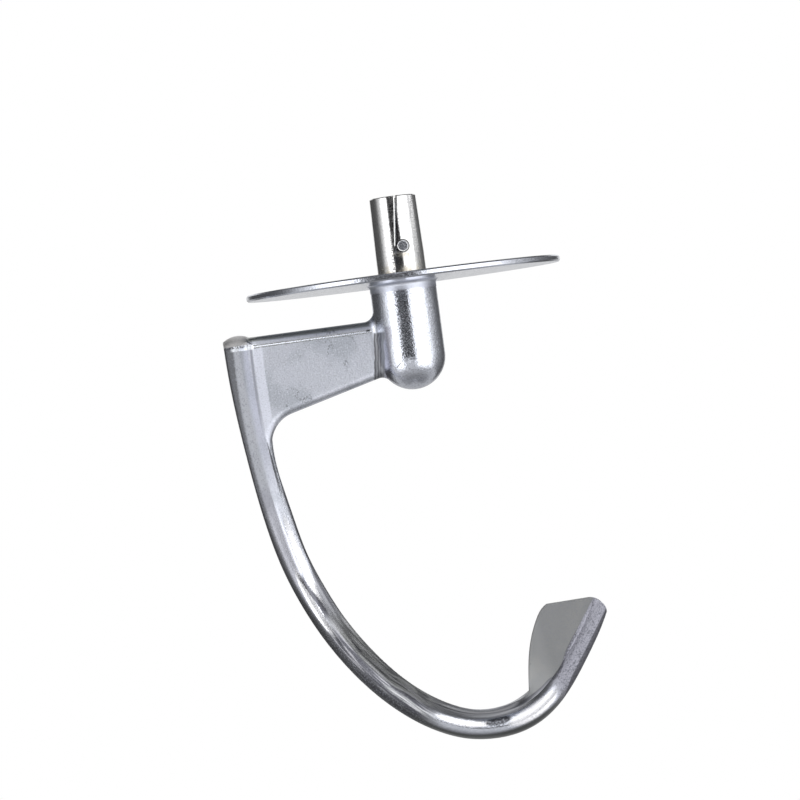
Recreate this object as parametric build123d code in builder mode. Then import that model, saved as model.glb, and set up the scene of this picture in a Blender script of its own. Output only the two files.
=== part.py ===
from build123d import *
import os
from math import cos, radians, sin, tan

# Dough hook for a stand mixer: an aluminium casting with a steel sleeve on its spigot.
# Millimetres. Z is the axis that the hook turns about, the origin is where the shank leaves
# the top face of the disc, and the hook bar lies in the XZ plane with its blade reaching to +Y.

# Shield disc and hub
disc_radius = 44.0
disc_thickness = 1.75
disc_edge_bevel = 0.4
hub_radius = 9.3
hub_centre_x = -0.3
hub_length = 30.05
hub_to_disc_round = 1.2

# Shank: steel sleeve over a cast spigot, straight at its foot and slightly tapered above
shank_length = 22.15
shank_radius_base = 6.8
shank_radius_top = 6.5
shank_land_length = 6.0
sleeve_wall = 1.2
spigot_recess = 2.0
sleeve_edge_bevel = 0.25
seam_gap = 0.22
seam_top_x = 0.6
seam_skew_degrees = 6.4
keying_hole_radius = 1.25
keying_hole_x = 1.0
keying_hole_z = 8.1
keying_hole_bevel = 0.35
keying_recess = 0.45

# Web between the hub and the hook bar
web_thickness = 5.0
web_top_z = -11.4
web_low_z_at_hub = -27.2
web_low_slope_degrees = 14.4
web_edge_round = 2.3
web_to_hub_round = 2.8
web_corner_x = -42.3
web_corner_radius = 8.9

# Hook bar: outer edge as seen from the front, and the section that follows it
hook_outer_edge = [
    (-52.2, -8.0),
    (-51.4, -28.4),
    (-48.9, -51.3),
    (-44.6, -74.5),
    (-34.7, -98.4),
    (-16.8, -120.7),
    (4.7, -131.4),
    (25.8, -126.3),
    (32.5, -119.2),
    (38.5, -110.7),
    (50.5, -88.5),
]
bar_width = 8.2
heel_width = 7.95
bar_front_height = 4.7
bar_back_height = 4.4
bar_ridge_place = 3.95
bar_facet_degrees = 43.0
bar_crease_drop = 2.2
bar_inner_round = 2.0
station_pitch = 12.5
section_break_degrees = 0.6
outer_fullness = 0.42
flat_fullness = 0.62
flat_tilt_degrees = 7.0
ridge_break_degrees = 41.0
crease_fullness = 0.36
face_fullness = 0.33

# Thickened root of the bar beside the web
root_width = 12.0
corner_width = 7.7
root_ridge_place = 4.3
root_facet_place = 6.45
root_facet_degrees = 4.0
root_ridge_turn_degrees = 44.5
root_crease_drop = 1.99
root_end_radius = 6.8
root_end_z = -10.5
root_end_back = 1.4

# Flange behind the rounded lip, which grows into the blade at the tip
lip_width = 6.4
lip_width_heel = 7.1
lip_width_tip = 4.7
lip_height_tip = 3.0
lip_turn_degrees = 86.0
lip_crease_drop = 3.9
tip_turn_degrees = 60.0
tip_crease_drop = 1.2
heel_outer_back = 0.6
tip_outer_back = 0.2
flange_degrees = 52.0
flange_taper_degrees = 14.0
flange_edge_round = 1.3
flange_set_back = 3.4
blade_degrees = 19.0
blade_taper_degrees = 4.0
blade_edge_round = 1.15
blade_reach = 21.0
blade_set_back = 4.4
flange_belly_place = 2.6
flange_belly_back = 3.2
flange_belly_degrees = 30.0
tip_belly_place = 3.0
tip_belly_back = 2.4
tip_belly_degrees = 14.0

# Outline of the blade, cut square through it as seen from the front
blade_top_z = -96.2
blade_top_degrees = 2.5
blade_corner_x = 40.0
blade_corner_run = 4.2
blade_corner_drop = 4.8
blade_foot = (20.0, -120.2)
blade_inner_steps = [(1.1, 0.37), (4.7, 0.83), (8.2, 1.0)]
blade_foot_way = (0.12, 1)
blade_top_way = (1, 0.5)
heel_inner_start = (7.2, -123.4)
heel_inner_middle = (14.4, -123.0)

# Margins of the cutting tools and of the edge picks
cut_clearance = 1.0
pick_tolerance = 0.05

# Values that follow from the sizes above
hub_centre_z = -disc_thickness - hub_length + hub_radius
spigot_length = shank_length - spigot_recess
shank_taper = (shank_radius_base - shank_radius_top) / (shank_length - shank_land_length)


def shank_radius(z):
    """Outer radius of the sleeve at height z: straight at its foot, then slightly tapered."""
    return shank_radius_base - shank_taper * max(0, z - shank_land_length)


def spigot_radius(z):
    """Radius of the spigot, which is also the sleeve's bore, at height z."""
    return shank_radius(z) - sleeve_wall


# Places along the hook, in mm of its outer edge from the upper end
hook_spine = Spline(*[(x, 0, z) for x, z in hook_outer_edge])
spine_length = hook_spine.length
root_full = 18.0
corner_end = 33.0
root_gone = 42.0
flange_start = 80.0
flange_full = 106.0
heel = 150.0
blade_start = 156.0
blade_full = 186.0
tip = 208.0


def along(place, *keys):
    """Value at a place along the hook, eased between (place, value) keys."""
    if place <= keys[0][0]:
        return keys[0][1]
    for (start, low), (end, high) in zip(keys, keys[1:]):
        if place <= end:
            part = (place - start) / (end - start)
            return low + (high - low) * part * part * (3 - 2 * part)
    return keys[-1][1]


def heading(degrees_back):
    """Unit direction in a section: 0 points inward, 90 points to the back."""
    return Vector(cos(radians(degrees_back)), -sin(radians(degrees_back)))


def blend_curve(start, start_way, end, end_way, fullness):
    """Cubic curve between two points of a section with given directions at its ends.

    Neighbouring curves meet at a break too slight to see, so that each keeps a face of its own.
    """
    reach = (end - start).length * fullness
    start_handle = start_way.rotate(Axis.Z, -section_break_degrees / 2) * reach
    end_handle = end_way.rotate(Axis.Z, section_break_degrees / 2) * reach
    return Bezier(start, start + start_handle, end - end_handle, end)


def round_fullness(turn_degrees):
    """Fullness at which a blend curve that turns by this angle is round."""
    return 4 / 3 * tan(radians(turn_degrees / 4)) / (2 * sin(radians(turn_degrees / 2)))


def draw_hook_section(place):
    """Draw the closed section of the hook at one place along its outer edge.

    In the sketch, x is the distance inward from the outer edge and y the height to the front.
    """
    width = along(place, (root_full, root_width), (corner_end, corner_width),
                  (flange_start, bar_width), (heel, heel_width), (blade_start, heel_width),
                  (blade_full, blade_reach))
    front = along(place, (heel, bar_front_height), (tip, lip_height_tip))
    ridge = along(place, (root_full, root_ridge_place), (root_gone, bar_ridge_place),
                  (flange_start, bar_ridge_place), (flange_full, lip_width / 2),
                  (heel, lip_width_heel / 2), (tip, lip_width_tip / 2))
    crease = along(place, (root_full, root_facet_place), (root_gone, lip_width),
                   (flange_full, lip_width), (heel, lip_width_heel), (tip, lip_width_tip))
    crease_drop = along(place, (root_full, root_crease_drop), (root_gone, bar_crease_drop),
                        (flange_start, bar_crease_drop), (flange_full, lip_crease_drop),
                        (heel, lip_crease_drop), (tip, tip_crease_drop))
    lip_turn = along(place, (root_full, root_ridge_turn_degrees), (root_gone, bar_facet_degrees),
                     (flange_start, bar_facet_degrees), (flange_full, lip_turn_degrees),
                     (heel, lip_turn_degrees), (tip, tip_turn_degrees))
    fullness = along(place, (root_gone, flat_fullness), (flange_start, outer_fullness))
    flat_tilt = along(place, (root_gone, flat_tilt_degrees), (flange_start, 0.0))
    ridge_break = along(place, (root_gone, ridge_break_degrees), (flange_start, 0.0))
    face = along(place, (root_full, root_facet_degrees), (root_gone, bar_facet_degrees),
                 (flange_start, bar_facet_degrees), (flange_full, flange_degrees),
                 (heel, flange_degrees), (blade_full, blade_degrees))
    back = along(place, (flange_start, -bar_facet_degrees),
                 (flange_full, flange_degrees - flange_taper_degrees),
                 (heel, flange_degrees - flange_taper_degrees),
                 (blade_full, blade_degrees - blade_taper_degrees))
    edge_round = along(place, (root_gone, bar_inner_round), (flange_start, bar_inner_round),
                       (flange_full, flange_edge_round), (heel, flange_edge_round),
                       (blade_full, blade_edge_round))
    edge_back = along(place, (flange_start, 0.0), (flange_full, flange_set_back),
                      (heel, flange_set_back), (blade_full, blade_set_back))
    belly = along(place, (flange_start, bar_ridge_place), (flange_full, flange_belly_place),
                  (tip, tip_belly_place))
    belly_back = along(place, (flange_start, bar_back_height), (flange_full, flange_belly_back),
                       (tip, tip_belly_back))
    belly_turn = along(place, (flange_start, 0.0), (flange_full, flange_belly_degrees),
                       (tip, tip_belly_degrees))
    outer_back = along(place, (flange_start, 0.0), (heel, heel_outer_back), (tip, tip_outer_back))

    outer_point = Vector(0, -outer_back)
    ridge_point = Vector(ridge, front)
    crease_point = Vector(crease, front - crease_drop)
    edge_centre = Vector(width - edge_round, -edge_back)
    face_way = heading(face)
    back_way = heading(back)
    face_end = edge_centre + Vector(-face_way.Y, face_way.X) * edge_round
    back_start = edge_centre - Vector(-back_way.Y, back_way.X) * edge_round
    belly_point = Vector(belly, -belly_back)
    to_front = Vector(0, 1)
    blend_curve(outer_point, to_front, ridge_point, heading(-flat_tilt), fullness)
    blend_curve(ridge_point, heading(ridge_break), crease_point, heading(lip_turn), crease_fullness)
    blend_curve(crease_point, face_way, face_end, face_way, face_fullness)
    blend_curve(face_end, face_way, back_start, -back_way, round_fullness(180 - face + back))
    blend_curve(back_start, -back_way, belly_point, -heading(belly_turn), crease_fullness)
    blend_curve(belly_point, -heading(belly_turn), outer_point, to_front, outer_fullness)


def section_plane(place):
    """Plane across the hook at one place, with x inward and y to the front."""
    origin = hook_spine.position_at(place, position_mode=PositionMode.LENGTH)
    way = hook_spine.tangent_at(place, position_mode=PositionMode.LENGTH)
    return Plane(origin=origin, x_dir=(-way.Z, 0, way.X), z_dir=way)


with BuildPart() as hook_bar:
    # Bar and blade, lofted through sections along the outer edge
    station_count = round(spine_length / station_pitch)
    for station in range(station_count + 1):
        place = spine_length * station / station_count
        with BuildSketch(section_plane(place)):
            with BuildLine():
                draw_hook_section(place)
            make_face()
    loft()

    # Domed upper end, lower at the front than at the back
    dome_centre = (hook_outer_edge[0][0] + bar_width / 2, root_end_back, root_end_z - root_end_radius)
    dome_clear = root_width + root_end_radius
    with BuildSketch(Plane(origin=dome_centre, x_dir=(1, 0, 0), z_dir=(0, -1, 0))):
        with BuildLine():
            RadiusArc((0, root_end_radius), (root_end_radius, 0), root_end_radius)
            Polyline(
                (root_end_radius, 0),
                (dome_clear, 0),
                (dome_clear, dome_clear),
                (0, dome_clear),
                (0, root_end_radius),
            )
        make_face()
    revolve(axis=Axis(dome_centre, (0, 0, 1)), mode=Mode.SUBTRACT)

    # Outline of the blade: inner edge, almost level top and the rounded corner at the outer edge
    top_drop = (blade_corner_x - blade_foot[0] - blade_inner_steps[-1][0]) * tan(radians(blade_top_degrees))
    inner_height = blade_top_z - top_drop - blade_foot[1]
    inner_edge = [blade_foot] + [
        (blade_foot[0] + step, blade_foot[1] + share * inner_height) for step, share in blade_inner_steps
    ]
    clear_right = hook_outer_edge[-1][0] + blade_reach
    clear_top = max(hook_outer_edge[-1][1], blade_top_z) + blade_reach
    with BuildSketch(Plane.XZ):
        with BuildLine():
            Spline(*inner_edge, tangents=[blade_foot_way, blade_top_way])
            Line(inner_edge[-1], (blade_corner_x, blade_top_z))
            corner_low = (blade_corner_x + blade_corner_run, blade_top_z - blade_corner_drop)
            TangentArc((blade_corner_x, blade_top_z), corner_low, tangent=(1, 0))
            Polyline(
                corner_low,
                (clear_right, corner_low[1]),
                (clear_right, clear_top),
                (heel_inner_start[0], clear_top),
                heel_inner_start,
            )
            ThreePointArc(heel_inner_start, heel_inner_middle, blade_foot)
        make_face()
    extrude(amount=disc_radius, both=True, mode=Mode.SUBTRACT)


with BuildPart() as web:
    # Flat web with full-round edges, deeper at the hook bar than at the hub
    slope = tan(radians(web_low_slope_degrees))
    web_low_z_at_bar = web_low_z_at_hub - slope * (abs(web_corner_x) - hub_radius)
    web_low_z_at_axis = web_low_z_at_hub + slope * hub_radius
    web_root_x = hook_outer_edge[0][0] + bar_width / 2
    web_root_low_z = web_low_z_at_bar - web_corner_radius
    with BuildSketch(Plane.XZ) as web_outline:
        with BuildLine():
            Polyline(
                (0, web_top_z),
                (0, web_low_z_at_axis),
                (web_corner_x, web_low_z_at_bar),
                (web_corner_x, web_root_low_z),
                (web_root_x, web_root_low_z),
                (web_root_x, web_top_z),
                close=True,
            )
        make_face()
        inner_corner_point = vertices().sort_by_distance((web_corner_x, web_low_z_at_bar))[0]
        fillet(inner_corner_point, web_corner_radius)
    extrude(amount=web_thickness / 2, both=True)
    round_edges = [
        edge for edge in edges().filter_by(Axis.Y, reverse=True)
        if abs(abs(edge.center().Y) - web_thickness / 2) < pick_tolerance
        and web_root_x + pick_tolerance < edge.center().X < -pick_tolerance
        and edge.center().Z > web_root_low_z + pick_tolerance
    ]
    fillet(round_edges, web_edge_round)


with BuildPart() as hook_casting:
    # Disc and spigot turned in one profile
    with BuildSketch(Plane.XZ):
        with BuildLine():
            Polyline(
                (0, spigot_length),
                (spigot_radius(spigot_length), spigot_length),
                (spigot_radius(shank_land_length), shank_land_length),
                (spigot_radius(0), 0),
                (disc_radius, 0),
                (disc_radius, -disc_thickness),
                (0, -disc_thickness),
                close=True,
            )
        make_face()
        rim_corners = vertices().group_by(Axis.X)[-1]
        chamfer(rim_corners, disc_edge_bevel)
    revolve(axis=Axis.Z)

    # Hub with its round nose, a little off the disc's axis
    with BuildSketch(Plane(origin=(hub_centre_x, 0, 0), x_dir=(1, 0, 0), z_dir=(0, -1, 0))):
        with BuildLine():
            Polyline((0, hub_centre_z - hub_radius), (0, -disc_thickness), (hub_radius, -disc_thickness))
            Line((hub_radius, -disc_thickness), (hub_radius, hub_centre_z))
            RadiusArc((hub_radius, hub_centre_z), (0, hub_centre_z - hub_radius), hub_radius)
        make_face()
    revolve(axis=Axis((hub_centre_x, 0, 0), (0, 0, 1)))
    hub_foot = edges().sort_by_distance((hub_centre_x + hub_radius, 0, -disc_thickness))[0]
    fillet(hub_foot, hub_to_disc_round)

    # Web, blended into the hub all round
    add(web.part)
    fillet(edges(Select.NEW), web_to_hub_round)

    # Hook bar with its blade
    add(hook_bar.part)

    # Key that locks the sleeve, a little below the sleeve's surface
    with BuildSketch(Plane(origin=(keying_hole_x, 0, keying_hole_z), z_dir=(0, -1, 0))):
        Circle(keying_hole_radius)
    extrude(amount=shank_radius(keying_hole_z) - keying_recess)


with BuildPart() as shank_sleeve:
    # Tube with an eased top rim
    with BuildSketch(Plane.XZ):
        with BuildLine():
            Polyline(
                (spigot_radius(0), 0),
                (shank_radius(0), 0),
                (shank_radius(shank_land_length), shank_land_length),
                (shank_radius(shank_length), shank_length),
                (spigot_radius(shank_length), shank_length),
                (spigot_radius(shank_land_length), shank_land_length),
                close=True,
            )
        make_face()
        outer_top_corner = vertices().sort_by_distance((shank_radius(shank_length), shank_length))[0]
        chamfer(outer_top_corner, sleeve_edge_bevel)
    revolve(axis=Axis.Z)

    # Keying hole with an eased mouth
    with BuildSketch(Plane(origin=(keying_hole_x, 0, keying_hole_z), z_dir=(0, -1, 0))):
        Circle(keying_hole_radius)
    extrude(amount=shank_radius_base + cut_clearance, mode=Mode.SUBTRACT)
    hole_mouth = edges(Select.NEW).sort_by(Axis.Y)[0]
    chamfer(hole_mouth, keying_hole_bevel)

    # Butt seam where the rolled strip closes, skewed against the axis
    seam_foot_x = seam_top_x - shank_length * tan(radians(seam_skew_degrees))
    with BuildSketch(Plane.XZ):
        with BuildLine():
            Polyline(
                (seam_top_x - seam_gap / 2, shank_length),
                (seam_top_x + seam_gap / 2, shank_length),
                (seam_foot_x + seam_gap / 2, 0),
                (seam_foot_x - seam_gap / 2, 0),
                close=True,
            )
        make_face()
    extrude(amount=shank_radius_base + cut_clearance, mode=Mode.SUBTRACT)


hook_casting.part.label = "hook_casting"
shank_sleeve.part.label = "shank_sleeve"

os.makedirs("parts", exist_ok=True)
export_step(hook_casting.part, "parts/hook_casting.step")
export_step(shank_sleeve.part, "parts/shank_sleeve.step")
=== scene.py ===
"""Looks of the dough hook: tumbled casting, bright steel sleeve, camera and a plain studio."""

import math

import bpy
import numpy as np
from mathutils import Matrix, Vector

MM = 0.001


class Signal:
    """An output socket in a node tree. Arithmetic on it adds Math nodes."""

    def __init__(self, tree, socket=None):
        self.tree = tree
        self.socket = socket

    def node(self, kind, settings=None, inputs=None, output=0):
        """Add a node: its settings, then its sockets' values or links. The output is named or counted."""
        made = self.tree.nodes.new(kind)
        for key, value in (settings or {}).items():
            setattr(made, key, value)
        for key, value in (inputs or {}).items():
            if isinstance(value, Signal):
                self.tree.links.new(value.socket, made.inputs[key])
            else:
                made.inputs[key].default_value = value
        return Signal(self.tree, made.outputs[output] if made.outputs else None)

    def math(self, operation, first, second=0.0):
        return self.node("ShaderNodeMath", {"operation": operation}, {0: first, 1: second})

    def __add__(self, other):
        return self.math("ADD", self, other)

    def __radd__(self, other):
        return self.math("ADD", other, self)

    def __sub__(self, other):
        return self.math("SUBTRACT", self, other)

    def __rsub__(self, other):
        return self.math("SUBTRACT", other, self)

    def __mul__(self, other):
        return self.math("MULTIPLY", self, other)

    def __rmul__(self, other):
        return self.math("MULTIPLY", other, self)

    def __abs__(self):
        return self.math("ABSOLUTE", self)

    def at_least(self, other):
        return self.math("MAXIMUM", self, other)

    def at_most(self, other):
        return self.math("MINIMUM", self, other)

    def ramp(self, low, high):
        """0 below low and 1 above high, eased between. It falls where low is above high."""
        ends = {"Value": self, "From Min": min(low, high), "From Max": max(low, high)}
        if low > high:
            ends.update({"To Min": 1.0, "To Max": 0.0})
        return self.node("ShaderNodeMapRange", {"interpolation_type": "SMOOTHSTEP"}, ends)

    def noise(self, size, detail=1.0, stretch=(1, 1, 1), turn=(0, 0, 0)):
        """Noise over a place, with features of about this size."""
        scale = tuple(factor / size for factor in stretch)
        spread = self.node("ShaderNodeMapping", None, {"Vector": self, "Rotation": turn, "Scale": scale})
        return self.node("ShaderNodeTexNoise", None, {"Vector": spread, "Scale": 1.0, "Detail": detail})

    def spots(self, size, radius):
        """Round spots of this radius, as a share of the spacing, over a place."""
        cells = {"Vector": self, "Scale": 1 / size}
        return self.node("ShaderNodeTexVoronoi", None, cells).ramp(radius, radius * 0.5)

    def axes(self):
        """The three numbers of a place or direction."""
        split = self.tree.nodes.new("ShaderNodeSeparateXYZ")
        self.tree.links.new(self.socket, split.inputs[0])
        return [Signal(self.tree, socket) for socket in split.outputs]


# Sockets of a Mix node that is set to colours, where several have the same name
MIX_FACTOR, MIX_FIRST, MIX_SECOND, MIX_RESULT = 0, 6, 7, 2


def mix_colour(mask, colour, other):
    """Colour where the mask is 0 and the other where it is 1."""
    colours = {MIX_FACTOR: mask, MIX_FIRST: colour, MIX_SECOND: other}
    return mask.node("ShaderNodeMix", {"data_type": "RGBA"}, colours, output=MIX_RESULT)


def new_material(name):
    """An empty node material and the first signal of its tree."""
    material = bpy.data.materials.new(name)
    material.use_nodes = True
    material.node_tree.nodes.clear()
    return material, Signal(material.node_tree)


# Camera, from a fit of the solids' outline to the photograph's
ROLL = 7.57
ELEVATION = 1.28
AZIMUTH = 1.10
TARGET = (-5.28, 0.0, -34.21)
DISTANCE = 704.0
MM_PER_PIXEL = 0.2791
IMAGE_WIDTH = 800
SENSOR = 36.0


def make_camera():
    """The photograph's camera: turned round the part, tilted down, then rolled."""
    roll, elevation, azimuth = (math.radians(angle) for angle in (ROLL, ELEVATION, AZIMUTH))
    forward = Vector((
        math.sin(azimuth) * math.cos(elevation),
        math.cos(azimuth) * math.cos(elevation),
        -math.sin(elevation),
    ))
    level = Vector((math.cos(azimuth), -math.sin(azimuth), 0))
    upright = level.cross(forward)
    up = upright * math.cos(roll) + level * math.sin(roll)
    right = level * math.cos(roll) - upright * math.sin(roll)
    data = bpy.data.cameras.new("camera")
    data.sensor_width = SENSOR
    data.lens = SENSOR * DISTANCE / MM_PER_PIXEL / IMAGE_WIDTH
    data.clip_start, data.clip_end = 0.01, 50
    camera = bpy.data.objects.new("camera", data)
    camera.matrix_world = Matrix.Translation((Vector(TARGET) - forward * DISTANCE) * MM) @ Matrix(
        (right, up, -forward)
    ).transposed().to_4x4()
    bpy.context.scene.collection.objects.link(camera)
    bpy.context.scene.camera = camera


# Arcs that follow the hook's outer edge, as centre x, centre z and radius in mm: upper bar, lower bar, heel
UPPER_ARC = (151.3, -22.8, 202.4)
LOWER_ARC = (39.3, -55.2, 85.9)
HEEL_ARC = (8.2, -99.0, 32.6)

# The straight edge at the tip, as a point on it and the direction inward
TIP_POINT = (25.8, -126.3)
TIP_INWARD = (-0.822, 0.569)

# Middle of the hook's curve: the turn round it is 0 degrees at the bar's left and grows towards the tip
TURN_CENTRE = (20, -70)

# Where the web's face ends at the bar, and how far that line leans for each mm of height
WEB_END_X = -42.6
WEB_END_LEAN = 0.06

# Where the web's face meets the hub, and how far that line leans
JOINT_X = -9.95
JOINT_Z = -15.3
JOINT_LEAN = 0.13

# Painted shade: dark lines along that joint, as distance from it and blur
JOINT_LINES = ((0.1, 0.2), (0.95, 0.25), (1.6, 0.2))

# Places of the painted highlight along the web's top, the web's face below it and the lip's inner side before
# it narrows, in mm
TOP_HIGHLIGHT_Z = -14.15
FACE_TOP_Z = -13.9
LIP_WIDTH = 7.3
LIP_NARROWING = 2.7

# Oval patches on the hook: middle and half size, each as degrees of turn and mm of depth; the shine and glare
# patches are burnished and painted bright as highlights
BAR_SHINE = ((5, 5.7), (12, 1.1))
UPPER_SHINE = ((17, 3.35), (10, 1.0))
LOWER_SHINE = ((70.5, 4.9), (7.5, 0.9))
HEEL_GLARE = ((90.5, 3.9), (7.5, 1.9))
LILAC_PATCH = ((56, 3.7), (10, 0.7))
HEEL_SPOT = ((80, 5.1), (3.7, 0.95))


def millimetres(start):
    """Object coordinates in mm."""
    place = start.node("ShaderNodeTexCoord", output="Object")
    return start.node("ShaderNodeVectorMath", {"operation": "SCALE"}, {0: place, "Scale": 1 / MM})


def from_arc(x, z, arc):
    """Distance inward from an arc."""
    centre_x, centre_z, radius = arc
    out_x, out_z = x - centre_x, z - centre_z
    return radius - x.math("SQRT", out_x * out_x + out_z * out_z)


def depth_in_hook(x, z):
    """Distance inward from the hook's outer edge, all along it."""
    tip = (x - TIP_POINT[0]) * TIP_INWARD[0] + (z - TIP_POINT[1]) * TIP_INWARD[1]
    depth = from_arc(x, z, UPPER_ARC)
    for nearer, share in (
        (from_arc(x, z, LOWER_ARC), z.ramp(-70, -84)),
        (from_arc(x, z, HEEL_ARC), x.ramp(-18, -8)),
        (tip, x.ramp(26, 32)),
    ):
        depth = depth + (nearer - depth) * share
    return depth


def turn_in_hook(x, z):
    """Degrees round the hook's curve."""
    return x.math("ARCTAN2", TURN_CENTRE[1] - z, TURN_CENTRE[0] - x) * math.degrees(1)


def band(signal, centre, half_width, blur):
    """1 within half_width of centre, fading to 0 over blur."""
    return abs(signal - centre).ramp(half_width + blur, half_width)


def patch(turn, turns, depth, depths):
    """1 on a stretch of turn and depth, fading out over 2 degrees and 0.4 mm."""
    (first, last), (outer, inner) = turns, depths
    along = turn.ramp(first - 2, first) * turn.ramp(last + 2, last)
    return along * depth.ramp(outer - 0.4, outer) * depth.ramp(inner + 0.4, inner)


def oval(turn, depth, middle, half, blur=0.35):
    """1 in an oval patch of turn and depth, fading to 0 at its rim."""
    across, along = (depth - middle[1]) * (1 / half[1]), (turn - middle[0]) * (1 / half[0])
    return (across * across + along * along).ramp(1 + blur, 1 - blur)


class CastingMarks:
    """Where each finish, painted highlight and painted shade of the casting lies: signals from 0 to 1 made of
    places, turns and noise.
    """

    def __init__(self, start):
        # Places, how far the surface faces the front or back, and noises from fine to broad
        self.place = millimetres(start)
        self.x, self.y, self.z = self.place.axes()
        self.facing = abs(start.node("ShaderNodeTexCoord", output="Normal").axes()[1])
        self.speckle = self.place.noise(0.42, detail=3)
        self.grain = self.place.noise(0.9, detail=3)
        self.ripple = self.place.noise(3, detail=2)
        self.cloud = self.place.noise(11, detail=3)

        # Depth from the hook's outer edge and turn round its curve, with streaks that run along the bar
        self.depth = depth_in_hook(self.x, self.z)
        self.turn = turn_in_hook(self.x, self.z)
        along = start.node("ShaderNodeCombineXYZ", None, {0: self.depth, 1: self.turn * 0.05})
        self.streak = along.noise(0.5, detail=2)
        self.wavy = self.depth + (self.speckle - 0.5) * 0.8 + (self.streak - 0.5) * 0.8
        self.grainy = self.depth + (self.speckle - 0.5) * 1.5 * self.turn.ramp(12, 0)

        self.mark_bar()
        self.mark_shine()
        self.mark_drawn_stretch()
        self.mark_heel_and_tip()
        self.mark_hub()
        self.mark_root_and_web()
        self.mark_joint()
        self.mark_lines()
        self.mark_specks()

    def mark_bar(self):
        """The hook as a whole, the painted shade on its outer edge, its flat front, the cap on its root and
        the web.
        """
        x, z, turn = self.x, self.z, self.turn
        self.past_web = (x + z * WEB_END_LEAN).ramp(WEB_END_X, WEB_END_X - 1)
        self.hook = self.past_web.at_least(z.ramp(-46, -50)) * z.ramp(-13.3, FACE_TOP_Z)
        self.lower = self.hook * z.ramp(-52, -56)
        edge_width = turn.ramp(5, 25) * 0.8 + 1.5 - turn.ramp(56, 62) * 0.4
        self.rounding = self.facing.ramp(0.1, 0.35) * 0.6 + 0.4
        # Painted shade: the outer edge is darkened
        at_edge = (self.grainy - edge_width).ramp(0.45, -0.35) * turn.ramp(102, 97)
        self.edge = self.hook * at_edge * self.rounding
        self.front = self.hook * self.grainy.ramp(5.0, 3.6) * z.ramp(-62, -52)
        self.cap = z.ramp(FACE_TOP_Z, -13.3) * x.ramp(-45, -46)
        self.web = x.ramp(-9, -11) * z.ramp(-66, -56) * z.ramp(-8, -10)
        self.satin = self.web * self.facing.ramp(0.55, 0.8)

    def mark_shine(self):
        """Burnished patches on the upper bar, the lower bar and the heel, painted bright as highlights."""
        turn, wavy = self.turn, self.wavy
        self.bright = oval(turn, wavy, *BAR_SHINE) * self.lower
        self.glare = oval(turn, wavy, *HEEL_GLARE)
        on_bar = oval(turn, wavy, *UPPER_SHINE).at_least(oval(turn, wavy, *LOWER_SHINE))
        self.shine = (on_bar * turn.ramp(78, 76.5)).at_least(self.glare) * self.lower

    def mark_drawn_stretch(self):
        """The bar's dull front, and the stretch below it with lines along the bar, with painted shade on both
        sides.
        """
        turn, wavy, dull = self.turn, self.wavy, 1 - self.shine
        before_heel = turn.ramp(66, 58)
        inner_start = turn.ramp(8, 20) * -2.6 + 6.8
        self.flat = self.lower * wavy.ramp(4.4, 4.0) * turn.ramp(30, 20) * dull
        fading_in = turn.ramp(4, 14) * 0.5 + 0.5
        # Painted shade along the bar's inner side
        self.inner = self.lower * (wavy - inner_start).ramp(0, 0.4) * before_heel * fading_in
        self.drawn = turn.ramp(18, 30) * before_heel * self.lower * dull
        # Painted shade along the bar's outer side
        self.outer_drawn_shade = self.drawn * (wavy - turn.ramp(48, 62)).ramp(5.2, 4.6)
        self.lilac = oval(turn, wavy, *LILAC_PATCH)

    def mark_heel_and_tip(self):
        """The heel's inner side in painted shade and its dark spot, the speckled lip at the tip with painted
        shade on its edge, and the blade beside it in painted shade.
        """
        x, depth, turn, wavy = self.x, self.depth, self.turn, self.wavy
        near_tip = x.ramp(17, 21)
        self.lip_side = depth - (LIP_WIDTH - turn.ramp(96, 104) * LIP_NARROWING)
        # Painted shade on the heel's inner side, behind the lip
        self.heel_inner_shade = patch(turn, (62, 97), wavy, (6.2, 9)) * self.lower
        mottled = self.speckle.ramp(0.35, 0.6) * 0.3 + 0.65
        self.heel_spot = oval(turn, wavy, *HEEL_SPOT) * self.lower * mottled
        self.tip = turn.ramp(95, 101) * near_tip * (1 - self.shine)
        # Painted shade on the lip's edge at the tip
        self.tip_edge_shade = turn.ramp(97, 101) * near_tip * depth.ramp(0.45, 0.15) * self.rounding
        self.tip_ridge = band(self.lip_side, -0.75, 0.25, 0.35) * self.tip
        # Painted shade: the blade is darker than the lip
        self.blade_shade = self.lip_side.ramp(-0.1, 0.3) * near_tip * self.z.ramp(-90, -94)
        self.lip_grain = self.tip * (1 - self.blade_shade)

    def mark_hub(self):
        """The hub, the round shoulder under the disc, a coarse stretch on the hub's front and two nicks."""
        x, z = self.x, self.z
        self.hub = x.ramp(-9.5, -8.5) * z.ramp(-3, -5) * z.ramp(-40, -38) * (1 - self.lower)
        self.shoulder = x.ramp(-12.5, -11.5) * z.ramp(-1.7, -2.0) * z.ramp(-4.4, -3.6) * x.ramp(13, 12)
        hub_front = self.hub * self.y.ramp(-1, -2)
        self.coarse = hub_front * band(x, -1.4, 1.6, 0.5) * z.ramp(-24, -22.5)
        upper_nick = band(x + z, -11.18, 0.1, 0.15) * band(z, -8.35, 0.55, 0.2)
        lower_nick = band(x - z, 20, 0.1, 0.15) * band(z, -24.5, 0.5, 0.2)
        self.nicks = (upper_nick + lower_nick) * hub_front

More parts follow.
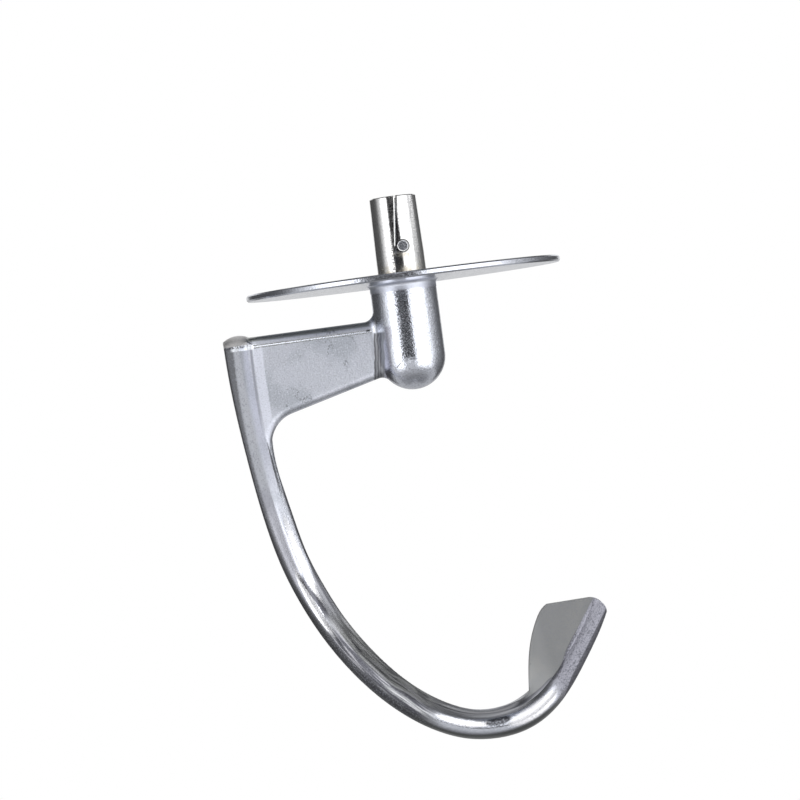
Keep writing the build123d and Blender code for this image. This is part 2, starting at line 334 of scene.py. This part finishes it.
    def mark_root_and_web(self):
        """The facets at the bar's root with painted shade on the slope and in the crease, and the web's top
        edge with its painted highlight line and painted shade on its rounding.
        """
        x, z, depth = self.x, self.z, self.depth
        # Painted shade on the facet at the bar's root
        self.slope = self.hook * self.grainy.ramp(3.6, 5.0) * depth.ramp(6.9, 6.5) * z.ramp(-60, -44)
        # Painted shade in the crease at the root
        self.root_crease_shade = band(depth, 6.5, 0.2, 0.4) * z.ramp(-40, -32) * self.past_web
        beside_bar = depth.ramp(6.6, 7.2) * depth.ramp(9.8, 9.4) * x.ramp(-30, -33)
        self.strip = beside_bar * z.ramp(-45, -40) * z.ramp(-13, -15)
        top_edge = x.ramp(-10, -11.5) * x.ramp(-46.5, -45.5) * z.ramp(-8.5, -9.5)
        # Painted shade on the web's rounded top edge: dark at the top, grey below
        self.top_shade = z.ramp(-13.0, -12.5) * top_edge
        self.top_grey_shade = z.ramp(FACE_TOP_Z, -13.5) * (1 - self.top_shade) * top_edge
        # Painted highlight: a bright line along the web's top edge
        line_width = x.ramp(-41.5, -43.5) * 0.3 + 0.34
        on_line = (abs(z - TOP_HIGHLIGHT_Z) - line_width).ramp(0.2, -0.05)
        self.top_highlight = on_line * x.ramp(-10, -11) * x.ramp(-50.5, -49)
        self.face_step = z.ramp(FACE_TOP_Z, -14.4) * self.web
        self.squiggle = band(z, -13.75, 0.15, 0.25) * x.ramp(-45.5, -46.5) * self.speckle.ramp(0.42, 0.5)
        self.spot = abs(z - FACE_TOP_Z).ramp(0.35, 0.2) * abs(x + 11.6).ramp(0.6, 0.4)

    def mark_joint(self):
        """Painted shade in the fillet between web and hub, the three dark lines along it and the lilac
        stretch beside it.
        """
        z = self.z
        off_joint = self.x - JOINT_X - (z - JOINT_Z) * JOINT_LEAN + (self.ripple - 0.5) * 1.2
        above_foot = z.ramp(-30, -28)
        # Painted shade in the fillet between web and hub
        self.joint_shade = off_joint.ramp(-0.4, 0) * off_joint.ramp(3.1, 2.5) * z.ramp(-14.4, -15.2) * above_foot
        self.joint_lilac = off_joint.ramp(2.4, 3) * off_joint.ramp(4.9, 4.3) * z.ramp(-13, -14) * above_foot
        # Painted shade: three dark lines along the fillet
        first, second, third = (band(off_joint, off, 0.1, blur) for off, blur in JOINT_LINES)
        self.joint_shade_lines = (first + second + third) * self.joint_shade

    def mark_lines(self):
        """Dark lines: painted shade below the first highlight, along the inner side, between lip and blade,
        in the root's crease and along the joint, with streaks, a squiggle, a spot and nicks.
        """
        turn, depth, wavy = self.turn, self.depth, self.wavy
        # Painted shade: dark lines below the first highlight and along the inner side
        crease = 4.0 + turn.ramp(9, 18) * 1.1 - turn.ramp(19, 27) * 1.1
        under_shine = band(wavy - crease, 0, 0.45, 0.35) * turn.ramp(7, 10) * turn.ramp(24, 19)
        past_shine = band(wavy, 3.9, 0.15, 0.3) * turn.ramp(20, 24) * turn.ramp(46, 40)
        upper_inside = band(depth, 7.6, 0.15, 0.3) * turn.ramp(26, 18)
        lower_inside = band(wavy, 6.2, 0.1, 0.35) * turn.ramp(20, 30) * turn.ramp(98, 90)
        # Painted shadow between lip and blade
        blade_gap_shade = band(self.lip_side, -0.1, 0.2, 0.35) * turn.ramp(56, 66) * turn.ramp(118, 108)
        drawn_lines = self.streak.ramp(0.5, 0.58) * self.drawn
        lines = past_shine * 0.6 + under_shine + upper_inside * 0.8 + lower_inside * 0.35
        lines = lines + blade_gap_shade * 0.7 + drawn_lines * 0.65
        # Painted shade in the root's crease and along the joint; the squiggle, spot and nicks are dark marks
        lines = lines * self.lower + self.root_crease_shade * 0.5 + self.joint_shade_lines * 0.7
        self.lines = (lines + self.squiggle + self.spot + self.nicks).at_most(1.0)

    def mark_specks(self):
        """Pits, smudges, thin scuffs on the web and fine dark specks, which are denser on some zones."""
        cloud, speckle = self.cloud, self.speckle
        self.pits = self.place.spots(3.1, 0.07) * cloud.ramp(0.48, 0.6)
        self.smudge = cloud.ramp(0.44, 0.62) * (0.35 + 0.65 * self.web)
        curls = abs(self.place.noise(6, detail=3) - 0.5).ramp(0.02, 0.004) * cloud.ramp(0.46, 0.56)
        self.scuff = curls * speckle.ramp(0.42, 0.54) * self.web * self.x.ramp(-40, -37)
        density = 0.15 + 0.3 * self.front + 0.4 * self.edge + 0.1 * self.web + 0.25 * self.tip
        density = density + 0.3 * self.outer_drawn_shade + 0.2 * self.hub
        self.specks = speckle.ramp(0.50, 0.66) * density + speckle.ramp(0.47, 0.55) * self.coarse * 0.7


def casting_colour(on):
    """Bluish grey metal, then each finish, painted highlight and painted shade over it: the mark, its
    strength and its colour, in this order.
    """
    turn, speckle, cloud = on.turn, on.speckle, on.cloud
    colour = mix_colour(on.smudge, (0.68, 0.705, 0.78, 1), (0.56, 0.59, 0.655, 1))
    for mark, strength, finish in (
        (on.web * speckle.ramp(0.44, 0.34), 0.6, (0.86, 0.88, 0.95)),
        # Painted shade on the facet at the bar's root
        (on.slope, 0.6, (0.45, 0.46, 0.53)),
        (on.strip, 0.8, (0.7, 0.72, 0.8)),
        # Painted shade on the web's rounded top edge
        (on.top_grey_shade, 0.7, (0.42, 0.43, 0.48)),
        (on.top_shade, 0.9, (0.25, 0.26, 0.25)),
        # Painted shade in the fillet between web and hub
        (on.joint_shade, 0.9, (0.26, 0.265, 0.28)),
        (on.joint_lilac, 0.8, (0.42, 0.42, 0.49)),
        (on.cap, 0.9, (0.56, 0.55, 0.54)),
        (on.front, 0.8, (0.4, 0.41, 0.44)),
        (on.flat, 0.9, (0.42, 0.425, 0.47)),
        # Painted shade on the bar's inner side
        (on.inner, 0.9, (0.3, 0.305, 0.33)),
        (on.drawn, 0.9, (0.41, 0.42, 0.415)),
        # Painted shade on the bar's outer side, lighter on the lilac patch
        (on.outer_drawn_shade, 1 - on.lilac * 0.6, (0.17, 0.173, 0.195)),
        (on.drawn * on.streak.ramp(0.46, 0.38), 0.6, (0.6, 0.6, 0.64)),
        # Painted shade on the heel's inner side
        (on.heel_inner_shade, 0.8, (0.29, 0.295, 0.31)),
        (on.tip, 0.9, (0.335, 0.335, 0.38)),
        (on.tip_ridge, 0.5, (0.55, 0.55, 0.62)),
        # Painted shade on the blade, with cloudy tone
        (on.blade_shade, 1.0, (0.27, 0.275, 0.28)),
        (on.blade_shade * cloud.ramp(0.5, 0.6), 0.5, (0.3, 0.302, 0.3)),
        # Burnished patches painted near white: painted highlight
        ((on.shine * 0.9).at_least(on.bright * 0.8), 1.0, (0.9, 0.9, 0.93)),
        # Painted shade on the outer edge, lighter near the heel
        (on.edge, 0.75 + turn.ramp(5, 20) * 0.2, (0.1, 0.102, 0.108)),
        (on.edge * turn.ramp(56, 64), 0.5, (0.25, 0.26, 0.25)),
        # Painted highlight along the web's top edge
        (on.top_highlight, 1.0, (0.91, 0.94, 1.0)),
        # Dark lines, mostly painted shade, and thin scuffs on the web
        (on.lines * 0.9 + on.scuff * 0.45, 1.0, (0.07, 0.07, 0.085)),
        (on.lip_grain * speckle.ramp(0.5, 0.4), 0.5, (0.48, 0.48, 0.55)),
        (on.specks, 1 - on.bright * 0.5, (0.24, 0.25, 0.28)),
        (on.lip_grain * speckle.ramp(0.54, 0.64), 0.45, (0.14, 0.14, 0.17)),
        # A dark spot on the heel, and painted shade on the tip's edge
        (on.heel_spot.at_least(on.tip_edge_shade * 0.6), 1.0, (0.03, 0.03, 0.035)),
        (on.pits, 0.7, (0.2, 0.2, 0.23)),
    ):
        colour = mix_colour(mark * strength, colour, (*finish, 1))
    return colour


def casting_roughness(on):
    """Burnished where rounded, satin on the web's faces, dull where the tumbling didn't reach."""
    dull = on.flat * 0.9 + on.drawn * 0.8 + on.inner * 0.6 + on.tip + on.blade_shade + on.cap + on.edge * 0.5
    dull = dull + on.heel_inner_shade * 0.6 + on.glare * 0.6 + on.joint_shade * 0.8 + on.slope * 0.6 + on.strip * 0.5
    dull = (dull + on.shoulder * 0.8 + on.front * 0.8).at_most(1.0) + on.tip * 0.5
    rough = 0.15 + on.satin * 0.22 + dull * 0.32 + on.grain * 0.06 + on.pits * 0.2
    return rough * (1 - on.top_highlight * 0.5)


def casting_height(on):
    """Orange-peel grain, stronger at the tip and weaker on the blade, pits, and a step at the web's top."""
    coarseness = 0.9 + 0.7 * on.front + 2.4 * on.tip + 0.8 * on.flat + 0.4 * on.hub
    peel = on.speckle * coarseness + on.grain * 0.8 + on.ripple * (0.9 - 0.7 * on.satin) - on.pits
    return peel * (1 - on.blade_shade * 0.6 - on.bright * 0.7) + on.face_step * 1.5


def add_metal(start, colour, roughness, height, relief):
    """A metal surface whose bumps stand up to this relief in mm."""
    bump = {"Strength": 1.0, "Distance": relief * MM, "Height": height}
    normal = start.node("ShaderNodeBump", None, bump)
    surface = {"Base Color": colour, "Metallic": 1.0, "Roughness": roughness, "Normal": normal}
    shader = start.node("ShaderNodeBsdfPrincipled", None, surface)
    start.node("ShaderNodeOutputMaterial", None, {"Surface": shader})


def cast_metal():
    """Tumbled aluminium: rounded forms burnished and painted bright, flat faces satin, fine grain, smudges
    and small pits, with painted shade.
    """
    material, start = new_material("cast_metal")
    marks = CastingMarks(start)
    add_metal(start, casting_colour(marks), casting_roughness(marks), casting_height(marks), 0.04)
    return material


# The sleeve's seam and keying hole in mm, as the solids have them
SEAM_TOP = (0.6, 22.15)
SEAM_SLOPE = math.tan(math.radians(6.4))
HOLE_CENTRE = (1.0, 0, 8.1)
HOLE_RADIUS = 1.25


def sleeve_steel():
    """Bright polished steel: painted highlight on the seam's lip and round the hole, with painted shade
    beside them and a painted dark reflection by the seam, faint grain, a warm stain at its foot.
    """
    material, start = new_material("sleeve_steel")
    place = millimetres(start)
    x, y, z = place.axes()
    grain = place.noise(0.4, detail=2)
    wave = place.noise(5, detail=1)
    blotch = place.noise(1.8, detail=3)
    front = y.ramp(-1, -2)

    # Seam: a painted highlight on its left lip, a painted shade line on its right, from the top down to the
    # hole
    off_seam = x - SEAM_TOP[0] - (z - SEAM_TOP[1]) * SEAM_SLOPE
    above_hole = front * z.ramp(8.0, 8.8)
    seam_highlight = above_hole * band(off_seam, -0.27, 0.12, 0.08)
    seam_shade = above_hole * band(off_seam, 0.25, 0.2, 0.35)

    # Painted highlight ring round the hole, and a painted shade ring round that
    flat_place = start.node("ShaderNodeCombineXYZ", None, {0: x, 2: z})
    ends = {0: flat_place, 1: HOLE_CENTRE}
    from_hole = start.node("ShaderNodeVectorMath", {"operation": "DISTANCE"}, ends, output="Value")
    # Painted highlight round the hole
    ring = front * band(from_hole, HOLE_RADIUS + 0.18, 0.06, 0.07)
    ring_shade = front * band(from_hole, HOLE_RADIUS + 0.45, 0.14, 0.12)

    # Fine lines down the sleeve, a smear here and there, and the stain at the foot and under the hole
    stretched = {0: x - z * 0.01, 1: y * 0.2, 2: z * 0.03}
    lines = start.node("ShaderNodeCombineXYZ", None, stretched).noise(0.5, detail=2)
    under_hole = band(from_hole, 2.6, 0.5, 1.2) * z.ramp(7, 5.5)
    stain_place = z.ramp(5.0, 0.2) + under_hole * 0.7
    stain = (stain_place * blotch.ramp(0.3, 0.66)).at_most(1.0)
    smear = blotch.ramp(0.52, 0.68) * 0.35

    # Painted dark reflection: a grain-broken dark stretch beside the seam, and one slanting scratch on the
    # right
    dark_reflection_band = front * band(x - z * 0.05, -1.4, 1.2, 0.5) * grain.ramp(0.42, 0.56)
    scratch = front * band(x - 2.8 - (z - 9.7) * 0.2, 0, 0.06, 0.12) * z.ramp(8, 11)

    # Colour and surface
    light, shade = seam_highlight.at_least(ring), seam_shade.at_least(ring_shade)
    colour = mix_colour(smear, (0.755, 0.755, 0.76, 1), (0.66, 0.655, 0.64, 1))
    for mark, finish in (
        (grain.ramp(0.5, 0.66) * 0.5, (0.36, 0.36, 0.37)),
        (lines.ramp(0.56, 0.68) * 0.35, (0.36, 0.36, 0.38)),
        # Painted dark reflection beside the seam, and the scratch
        (dark_reflection_band * 0.8 + scratch * 0.35, (0.12, 0.12, 0.125)),
        (stain * 0.75, (0.44, 0.39, 0.28)),
        # Painted shade beside the seam and round the hole
        (shade * 0.9, (0.05, 0.05, 0.05)),
        # Painted highlight on the seam's lip and round the hole
        (light, (0.97, 0.97, 0.96)),
    ):
        colour = mix_colour(mark, colour, (*finish, 1))
    roughness = 0.09 + grain * 0.05 + smear * 0.2 + stain * 0.15 + light * 0.6
    add_metal(start, colour, roughness, grain * 0.6 + wave * 0.3 + lines * 0.3, 0.02)
    return material


# Grey levels of the studio seen from the part: azimuth 0 is the camera's side, positive to the right
SIDE_LEVELS = {
    -180: 1.0, -157: 1.0, -155: 0.08, -118: 0.1, -100: 0.13, -92: 0.27, -85: 0.5, -78: 0.75, -70: 1.1,
    -62: 1.7, -56: 2.1, -36: 2.1, -31: 0.3, 11: 0.3, 15: 2.1, 68: 1.85, 77: 1.1, 84: 0.7, 91: 0.43,
    104: 0.3, 119: 0.19, 142: 0.11, 155: 0.1, 157: 1.0, 180: 1.0,
}
HEIGHT_LEVELS = {-90: 0.25, -62: 0.3, -48: 0.5, -38: 0.6, 42: 0.35, 55: 0.15, 90: 0.1}
FRONT_LEVELS = {-38: 0.75, -20: 0.65, -11: 0.55, -7: 0.04, 11: 0.04, 14: 1.2, 32: 1.2, 38: 0.35}
BACK_LEVELS = {-38: 0.5, -1: 0.6, 0: 1.0, 90: 1.0}

# How much of the panels counts at an elevation, of the front at an azimuth, and of the back at an azimuth
PANEL_SHARES = {-36: 0.0, -30: 1.0, 40: 1.0, 46: 0.0}
FRONT_SHARES = {-31: 0.0, -29: 1.0, 9: 1.0, 11: 0.0}
BACK_SHARES = {155: 0.0, 157: 1.0}

# Small bright cards: azimuth, elevation, half width, half height and level, and the blur of their rims
CARDS = ((-11, -12, 7, 3, 1.3), (97, 13.5, 10, 3.2, 2.2), (0, 58, 70, 9, 1.4), (-14, 42, 20, 6, 1.4))
CARD_BLUR = 3

# Tent of light round the part, in metres, with a corner every few degrees
TENT_CENTRE = Vector((0, 0, -0.06))
TENT_RADIUS = 1.2
TENT_STEP = 2
TENT_ABOVE_FLOOR = 0.01

# Floor, in metres: it turns from its own grey to white between two distances from the part's origin
FLOOR_Z = -0.32
FLOOR_RADIUS = 1.4
FLOOR_CORNERS = 96
FLOOR_GREY = (0.86, 0.86, 0.86, 1)
FLOOR_WHITENS = (0.2, 0.55)

# Background, and the plain light that the world gives to matt surfaces
WHITE = (1, 1, 1, 1)
AMBIENT = (0.9, 0.93, 1, 1)
AMBIENT_LEVEL = 0.35


def level_at(angle, levels):
    """Level at an angle, straight between the named ones."""
    return float(np.interp(angle, list(levels), list(levels.values())))


def tent_level(azimuth, elevation):
    """How bright the tent is in one direction: side panels, the gap round the camera, cards, white behind."""
    side = level_at(azimuth, SIDE_LEVELS)
    side += (level_at(elevation, FRONT_LEVELS) - side) * level_at(azimuth, FRONT_SHARES)
    within = level_at(elevation, PANEL_SHARES)
    sides = level_at(elevation, HEIGHT_LEVELS) * (1 - within) + side * within
    behind = level_at(abs(azimuth), BACK_SHARES)
    level = sides + (level_at(elevation, BACK_LEVELS) - sides) * behind
    for card_azimuth, card_elevation, half_width, half_height, card_level in CARDS:
        share = level_at(abs(azimuth - card_azimuth), {half_width: 1, half_width + CARD_BLUR: 0})
        share *= level_at(abs(elevation - card_elevation), {half_height: 1, half_height + CARD_BLUR: 0})
        level += max(card_level - level, 0) * share
    return level


def make_tent():
    """A closed tent of soft light that only reflections see."""
    azimuths = range(-180, 181, TENT_STEP)
    elevations = range(-88, 89, TENT_STEP)
    corners, levels = [], []
    for azimuth in azimuths:
        for elevation in elevations:
            turn, rise = math.radians(azimuth), math.radians(elevation)
            way = Vector((math.sin(turn) * math.cos(rise), -math.cos(turn) * math.cos(rise), math.sin(rise)))
            reach = TENT_RADIUS
            if way.z < 0:
                reach = min(reach, (TENT_CENTRE.z - FLOOR_Z - TENT_ABOVE_FLOOR) / -way.z)
            corners.append(TENT_CENTRE + way * reach)
            levels.append(tent_level(azimuth, elevation))
    rows = len(elevations)
    faces = []
    for column in range(len(azimuths) - 1):
        for row in range(rows - 1):
            low = column * rows + row
            faces.append((low, low + rows, low + rows + 1, low + 1))
    mesh = bpy.data.meshes.new("light_tent")
    mesh.from_pydata(corners, [], faces)
    mesh.attributes.new("level", "FLOAT", "POINT").data.foreach_set("value", levels)
    material, start = new_material("light_tent")
    level = start.node("ShaderNodeAttribute", {"attribute_name": "level"}, output="Fac")
    shader = start.node("ShaderNodeEmission", None, {"Color": WHITE, "Strength": level})
    start.node("ShaderNodeOutputMaterial", None, {"Surface": shader})
    mesh.materials.append(material)
    tent = bpy.data.objects.new("light_tent", mesh)
    tent.visible_camera = False
    tent.visible_diffuse = False
    tent.visible_shadow = False
    bpy.context.scene.collection.objects.link(tent)


def soft_lamp(name, place, size, radiance):
    """A square soft light for the floor and its shadow, turned to the part."""
    data = bpy.data.lights.new(name, "AREA")
    data.size = size
    data.energy = radiance * math.pi * size * size
    lamp = bpy.data.objects.new(name, data)
    lamp.location = place
    lamp.rotation_euler = (Vector(place) - TENT_CENTRE).to_track_quat("Z", "Y").to_euler()
    lamp.visible_camera = False
    lamp.visible_glossy = False
    bpy.context.scene.collection.objects.link(lamp)


def make_floor():
    """A round pale floor that keeps the shadow and turns into the white background further out."""
    angles = [index * math.tau / FLOOR_CORNERS for index in range(FLOOR_CORNERS)]
    ring = [(FLOOR_RADIUS * math.cos(angle), FLOOR_RADIUS * math.sin(angle), FLOOR_Z) for angle in angles]
    mesh = bpy.data.meshes.new("floor")
    mesh.from_pydata(ring, [], [tuple(range(FLOOR_CORNERS))])
    material, start = new_material("floor")
    place = start.node("ShaderNodeTexCoord", output="Object")
    out = place.node("ShaderNodeVectorMath", {"operation": "LENGTH"}, {0: place}, output="Value")
    seen = white_rays(start) * out.ramp(*FLOOR_WHITENS)
    pale = start.node("ShaderNodeBsdfDiffuse", None, {"Color": FLOOR_GREY})
    white = start.node("ShaderNodeEmission", None, {"Color": WHITE, "Strength": 1.0})
    shader = start.node("ShaderNodeMixShader", None, {0: seen, 1: pale, 2: white})
    start.node("ShaderNodeOutputMaterial", None, {"Surface": shader})
    mesh.materials.append(material)
    floor = bpy.data.objects.new("floor", mesh)
    bpy.context.scene.collection.objects.link(floor)


def white_rays(start):
    """1 for the rays that show the white background: camera, glossy and transmission."""
    kinds = ("Is Camera Ray", "Is Glossy Ray", "Is Transmission Ray")
    camera, glossy, transmission = (start.node("ShaderNodeLightPath", output=kind) for kind in kinds)
    return (camera + glossy + transmission).at_most(1.0)


def make_world():
    """White for the rays that see the background, and a plain soft light for the rest."""
    world = bpy.data.worlds.new("studio")
    world.use_nodes = True
    world.node_tree.nodes.clear()
    start = Signal(world.node_tree)
    ambient = start.node("ShaderNodeBackground", None, {"Color": AMBIENT, "Strength": AMBIENT_LEVEL})
    white = start.node("ShaderNodeBackground", None, {"Color": WHITE, "Strength": 1.0})
    shader = start.node("ShaderNodeMixShader", None, {0: white_rays(start), 1: ambient, 2: white})
    start.node("ShaderNodeOutputWorld", None, {"Surface": shader})
    bpy.context.scene.world = world


def make_studio():
    make_world()
    make_floor()
    make_tent()
    soft_lamp("left_lamp", (-0.8, -0.6, 0.7), 0.8, 2.0)
    soft_lamp("right_lamp", (0.9, -0.5, 0.6), 0.8, 2.0)


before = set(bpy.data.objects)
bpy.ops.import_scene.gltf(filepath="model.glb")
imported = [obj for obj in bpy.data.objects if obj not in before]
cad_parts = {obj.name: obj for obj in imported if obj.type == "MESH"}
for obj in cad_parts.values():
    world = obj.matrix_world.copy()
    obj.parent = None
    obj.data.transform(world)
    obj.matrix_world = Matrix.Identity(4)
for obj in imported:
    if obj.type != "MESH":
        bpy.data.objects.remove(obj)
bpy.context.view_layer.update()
bpy.context.scene.view_settings.view_transform = "Standard"
finishes = {"hook_casting": cast_metal(), "shank_sleeve": sleeve_steel()}
for name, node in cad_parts.items():
    node.data.materials.clear()
    node.data.materials.append(finishes[name])
make_camera()
make_studio()
